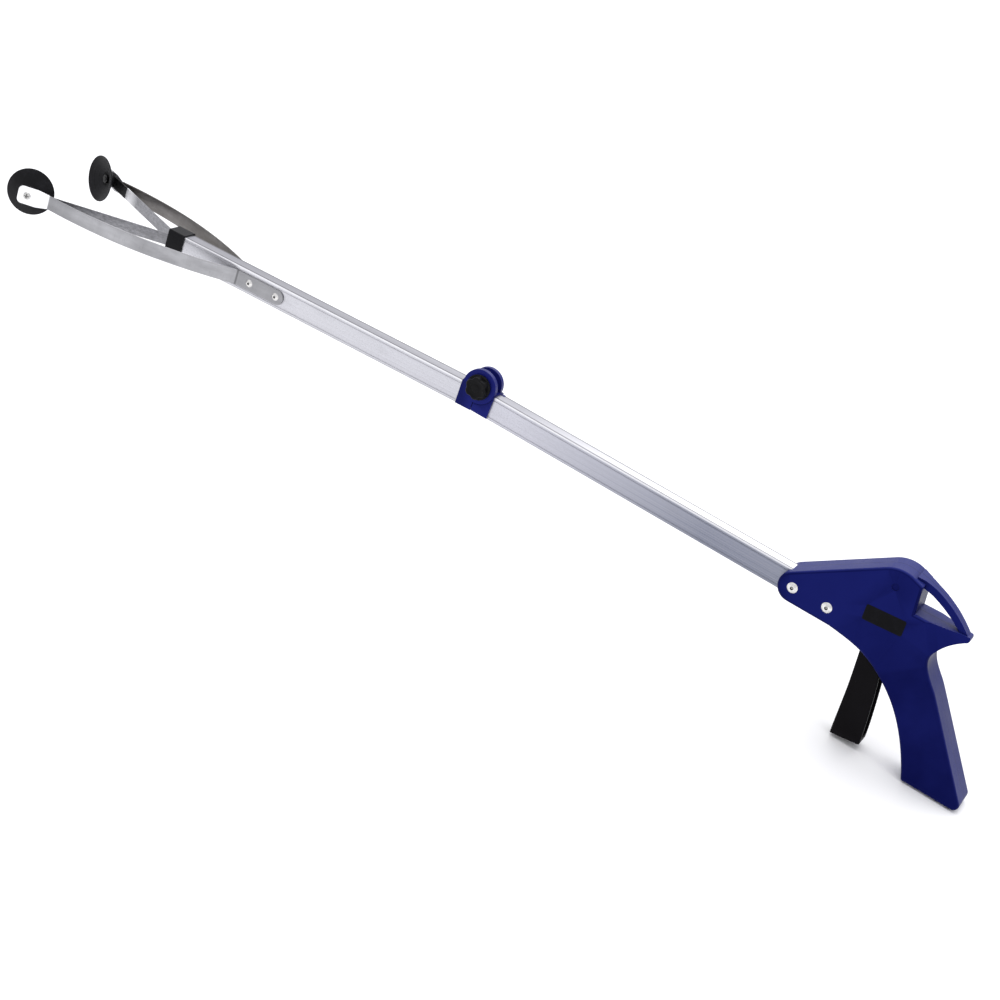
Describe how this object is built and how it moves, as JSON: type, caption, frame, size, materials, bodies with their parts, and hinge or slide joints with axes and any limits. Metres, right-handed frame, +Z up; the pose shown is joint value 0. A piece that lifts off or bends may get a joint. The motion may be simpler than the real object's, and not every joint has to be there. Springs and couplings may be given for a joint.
{
  "type": "reacher grabber",
  "caption": "Folding reaching aid: pistol-grip handle with trigger, rectangular shaft that folds at a knobbed hinge, and sprung metal jaws tipped with rubber suction cups.",
  "frame": {"origin": "where the hand holds the grip, on the middle plane, half-way down the grip's neck", "axes": "+X back along the rear tube towards the wrist side, +Z up towards the hanging window, +Y to the far side; the front half hangs 2.8 degrees below -X"},
  "size_m": [0.834, 0.1128, 0.135],
  "materials": {
    "handle_plastic": "satin deep navy blue moulding",
    "label": "matte black blank patch",
    "trigger_plastic": "matte black moulding",
    "black_plastic": "black moulding",
    "bracket_plastic": "satin blue moulding",
    "shaft_aluminium": "silver anodised extrusion",
    "zinc_steel": "zinc-plated steel",
    "dark_steel": "black-oxide steel",
    "rivet_metal": "nickel-plated steel",
    "brass_insert": "plain brass",
    "cable_steel": "galvanised wire rope",
    "slider_plastic": "dark acetal",
    "spring_steel": "brushed spring steel",
    "link_steel": "plain rolled steel",
    "cup_rubber": "black rubber"
  },
  "bodies": {
    "handle": {"handle_shell_near": "handle_plastic", "handle_shell_far": "handle_plastic", "shell_screws": "zinc_steel", "handle_rivets": "rivet_metal", "side_label": "label", "trigger_pin": "zinc_steel", "rear_tube": "shaft_aluminium", "rear_hinge_bracket": "bracket_plastic"},
    "trigger": {"trigger_lever": "trigger_plastic", "cable_anchor_pin": "zinc_steel"},
    "rear_pull": {"rear_cable": "cable_steel", "cable_eye": "cable_steel"},
    "front_half": {"front_hinge_bracket": "bracket_plastic", "fold_bolt": "zinc_steel", "fold_washer": "zinc_steel", "front_tube": "shaft_aluminium", "front_cap": "black_plastic", "jaw_rivets": "rivet_metal", "jaw_base_near": "spring_steel", "jaw_base_far": "spring_steel"},
    "knob": {"fold_knob": "black_plastic", "knob_insert": "brass_insert"},
    "front_pull": {"front_cable": "cable_steel", "slider_yoke": "slider_plastic", "link_pins": "zinc_steel"},
    "jaw_near": {"jaw_strip_near": "spring_steel"},
    "jaw_far": {"jaw_strip_far": "spring_steel"},
    "tip_near": {"jaw_tab_near": "spring_steel", "jaw_link_near": "link_steel", "suction_cup_near": "cup_rubber", "cup_screw_near": "zinc_steel", "cup_nut_near": "dark_steel"},
    "tip_far": {"jaw_tab_far": "spring_steel", "jaw_link_far": "link_steel", "suction_cup_far": "cup_rubber", "cup_screw_far": "zinc_steel", "cup_nut_far": "dark_steel"}
  },
  "joints": [
    {"name": "trigger_squeeze", "type": "hinge", "parent": "handle", "child": "trigger", "pos_m": [-0.0565, 0, 0.0765], "axis": [0, -1, 0], "range_deg": [0, 9.49], "stiffness_Nm_per_rad": 1.2},
    {"name": "rear_cable_pull", "type": "slide", "parent": "handle", "child": "rear_pull", "axis": [1, 0, 0], "range_m": [0, 0.00472]},
    {"name": "shaft_fold", "type": "hinge", "parent": "handle", "child": "front_half", "pos_m": [-0.384, 0, 0.051], "axis": [0, 1, 0], "range_deg": [0, 175]},
    {"name": "knob_turn", "type": "hinge", "parent": "front_half", "child": "knob", "pos_m": [-0.384, 0, 0.051], "axis": [0, 1, 0], "continuous": true},
    {"name": "front_cable_pull", "type": "slide", "parent": "front_half", "child": "front_pull", "axis": [0.9988, 0, 0.0489], "range_m": [0, 0.00472]},
    {"name": "jaw_close_near", "type": "hinge", "parent": "front_half", "child": "jaw_near", "pos_m": [-0.59771, -0.00687, 0.02953], "axis": [0.0489, 0, -0.9988], "range_deg": [0, 12.4]},
    {"name": "jaw_close_far", "type": "hinge", "parent": "front_half", "child": "jaw_far", "pos_m": [-0.59771, 0.00687, 0.02953], "axis": [-0.0489, 0, 0.9988], "range_deg": [0, 12.4]},
    {"name": "tip_turn_near", "type": "hinge", "parent": "jaw_near", "child": "tip_near", "pos_m": [-0.74853, -0.0457, 0.02216], "axis": [0.0489, 0, -0.9988], "range_deg": [0, 7.85]},
    {"name": "tip_turn_far", "type": "hinge", "parent": "jaw_far", "child": "tip_far", "pos_m": [-0.74853, 0.0457, 0.02216], "axis": [-0.0489, 0, 0.9988], "range_deg": [0, 7.85]}
  ],
  "couplings": [
    {"joint": "rear_cable_pull", "follows": "trigger_squeeze", "m_per_rad": 0.02837},
    {"joint": "front_cable_pull", "follows": "trigger_squeeze", "m_per_rad": 0.02837},
    {"joint": "jaw_close_near", "follows": "trigger_squeeze", "ratio": 1.296},
    {"joint": "jaw_close_far", "follows": "trigger_squeeze", "ratio": 1.296},
    {"joint": "tip_turn_near", "follows": "trigger_squeeze", "ratio": 0.81774},
    {"joint": "tip_turn_far", "follows": "trigger_squeeze", "ratio": 0.81774}
  ]
}
